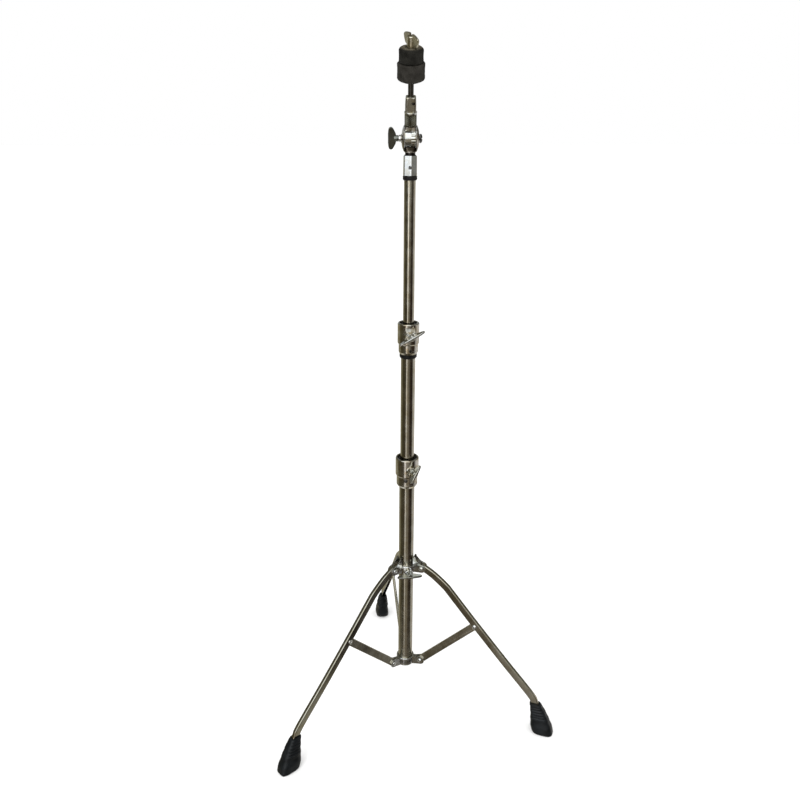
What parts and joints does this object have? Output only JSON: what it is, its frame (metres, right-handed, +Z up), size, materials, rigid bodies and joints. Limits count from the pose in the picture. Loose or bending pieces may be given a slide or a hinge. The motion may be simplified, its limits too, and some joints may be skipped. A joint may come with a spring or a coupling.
{
  "type": "straight cymbal stand",
  "caption": "Folding tripod stand with telescoping tubes, height clamps and a tilting rod that holds a cymbal between felts.",
  "frame": {"origin": "centre of the footprint box of the open tripod, on the floor", "axes": "+Z up along the mast, -Y towards the side that the clamps' wing bolts face, +X to the right seen from there, with the rear leg along +Y"},
  "size_m": [0.5464, 0.4757, 1.2693],
  "materials": {
    "nickel_tube": "polished nickel plating, slightly worn",
    "chrome_casting": "chrome plated casting with softened edges",
    "bright_chrome": "bright chrome plating",
    "brassy_nickel": "nickel plated casting, warm tone",
    "dark_steel": "dull zinc plated steel",
    "black_nylon": "black moulded nylon",
    "black_rubber": "black moulded rubber with ribs",
    "dark_felt": "pressed charcoal wool felt"
  },
  "bodies": {
    "base": {"base_tube": "nickel_tube", "base_tube_plug": "black_nylon", "lower_hub": "bright_chrome", "lower_rivet_left": "bright_chrome", "lower_rivet_right": "bright_chrome", "lower_rivet_rear": "bright_chrome", "lower_clamp": "chrome_casting", "lower_clamp_bushing": "black_nylon", "lower_clamp_shoe": "dark_steel", "lower_clamp_rivet": "dark_steel"},
    "brace_left": {"brace_left": "nickel_tube"},
    "brace_right": {"brace_right": "nickel_tube"},
    "brace_rear": {"brace_rear": "nickel_tube"},
    "leg_left": {"leg_left": "nickel_tube", "foot_left": "black_rubber", "knee_rivet_left": "bright_chrome"},
    "leg_right": {"leg_right": "nickel_tube", "foot_right": "black_rubber", "knee_rivet_right": "bright_chrome"},
    "leg_rear": {"leg_rear": "nickel_tube", "foot_rear": "black_rubber", "knee_rivet_rear": "bright_chrome"},
    "leg_hub": {"leg_hub": "bright_chrome", "hub_rivet_left": "bright_chrome", "hub_rivet_right": "bright_chrome", "hub_rivet_rear": "bright_chrome", "hub_shoe": "dark_steel"},
    "hub_wing_bolt": {"hub_wing_bolt": "brassy_nickel"},
    "lower_clamp_wing_bolt": {"lower_clamp_wing_bolt": "brassy_nickel"},
    "middle": {"middle_tube": "nickel_tube", "middle_tube_guide": "black_nylon", "upper_clamp": "chrome_casting", "upper_clamp_bushing": "black_nylon", "upper_clamp_shoe": "dark_steel", "upper_clamp_pin": "dark_steel", "upper_clamp_ring": "black_nylon"},
    "upper_clamp_wing_bolt": {"upper_clamp_wing_bolt": "brassy_nickel"},
    "upper": {"upper_tube": "nickel_tube", "upper_tube_guide": "black_nylon", "upper_tube_ring": "black_nylon"},
    "head": {"tilter_base": "bright_chrome", "tilter_sleeve": "bright_chrome", "tilter_bolt": "dark_steel", "tilter_washer": "bright_chrome"},
    "sleeve_key_bolt": {"sleeve_key_bolt": "dark_steel"},
    "tilter_wing_nut": {"tilter_wing_nut": "nickel_tube"},
    "arm": {"tilter_arm": "chrome_casting", "rod_set_screw": "dark_steel", "cymbal_rod": "dark_steel", "seat_washer": "dark_steel", "rod_sleeve": "black_nylon", "lower_felt": "dark_felt"},
    "upper_felt": {"upper_felt": "dark_felt"},
    "top_wing_nut": {"top_wing_nut": "brassy_nickel"}
  },
  "joints": [
    {"name": "leg_fold", "type": "hinge", "parent": "base", "child": "brace_rear", "pos_m": [0, -0.03797, 0.106], "axis": [1, 0, 0], "range_deg": [-15, 37]},
    {"name": "rear_knee", "type": "hinge", "parent": "brace_rear", "child": "leg_rear", "pos_m": [0, 0.07203, 0.216], "axis": [1, 0, 0], "range_deg": [-74, 30]},
    {"name": "rear_hub_pivot", "type": "hinge", "parent": "leg_rear", "child": "leg_hub", "pos_m": [0, -0.03797, 0.326], "axis": [1, 0, 0], "range_deg": [-15, 37]},
    {"name": "left_hub_pivot", "type": "hinge", "parent": "leg_hub", "child": "leg_left", "pos_m": [-0.02858, -0.08747, 0.326], "axis": [-0.5, 0.866, 0], "range_deg": [-37, 15]},
    {"name": "right_hub_pivot", "type": "hinge", "parent": "leg_hub", "child": "leg_right", "pos_m": [0.02858, -0.08747, 0.326], "axis": [-0.5, -0.866, 0], "range_deg": [-37, 15]},
    {"name": "left_brace_pivot", "type": "hinge", "parent": "base", "child": "brace_left", "pos_m": [-0.02858, -0.08747, 0.106], "axis": [-0.5, 0.866, 0], "range_deg": [-15, 37]},
    {"name": "right_brace_pivot", "type": "hinge", "parent": "base", "child": "brace_right", "pos_m": [0.02858, -0.08747, 0.106], "axis": [-0.5, -0.866, 0], "range_deg": [-15, 37]},
    {"name": "hub_wing_bolt_spin", "type": "hinge", "parent": "leg_hub", "child": "hub_wing_bolt", "pos_m": [0, -0.07097, 0.321], "axis": [0, -1, 0], "continuous": true},
    {"name": "lower_clamp_wing_bolt_spin", "type": "hinge", "parent": "base", "child": "lower_clamp_wing_bolt", "pos_m": [0, -0.07097, 0.5375], "axis": [0.2317, -0.9728, 0], "continuous": true},
    {"name": "middle_tube_slide", "type": "slide", "parent": "base", "child": "middle", "axis": [0, 0, 1], "range_m": [-0.18, 0.15]},
    {"name": "upper_clamp_wing_bolt_spin", "type": "hinge", "parent": "middle", "child": "upper_clamp_wing_bolt", "pos_m": [0, -0.07097, 0.7948], "axis": [0, -1, 0], "continuous": true},
    {"name": "upper_tube_slide", "type": "slide", "parent": "middle", "child": "upper", "axis": [0, 0, 1], "range_m": [-0.23, 0.15]},
    {"name": "head_swivel", "type": "hinge", "parent": "upper", "child": "head", "pos_m": [0, -0.07097, 1.075], "axis": [0, 0, 1], "continuous": true},
    {"name": "sleeve_key_bolt_spin", "type": "hinge", "parent": "head", "child": "sleeve_key_bolt", "pos_m": [0, -0.07097, 1.0718], "axis": [-0.2011, -0.9796, 0], "continuous": true},
    {"name": "tilter_wing_nut_spin", "type": "hinge", "parent": "head", "child": "tilter_wing_nut", "pos_m": [0, -0.07097, 1.1158], "axis": [0.9796, -0.2011, 0], "continuous": true},
    {"name": "tilt", "type": "hinge", "parent": "head", "child": "arm", "pos_m": [0, -0.07097, 1.1158], "axis": [0.9796, -0.2011, 0], "range_deg": [-105, 65]},
    {"name": "upper_felt_lift", "type": "slide", "parent": "arm", "child": "upper_felt", "axis": [-0.0688, -0.335, 0.9397], "range_m": [0, 0.008]},
    {"name": "top_wing_nut_spin", "type": "hinge", "parent": "upper_felt", "child": "top_wing_nut", "pos_m": [0, -0.07097, 1.1158], "axis": [-0.0688, -0.335, 0.9397], "continuous": true}
  ],
  "couplings": [
    {"joint": "rear_knee", "follows": "leg_fold", "ratio": -2},
    {"joint": "rear_hub_pivot", "follows": "leg_fold", "ratio": 1},
    {"joint": "left_hub_pivot", "follows": "leg_fold", "ratio": -1},
    {"joint": "right_hub_pivot", "follows": "leg_fold", "ratio": -1},
    {"joint": "left_brace_pivot", "follows": "leg_fold", "ratio": 1},
    {"joint": "right_brace_pivot", "follows": "leg_fold", "ratio": 1}
  ]
}
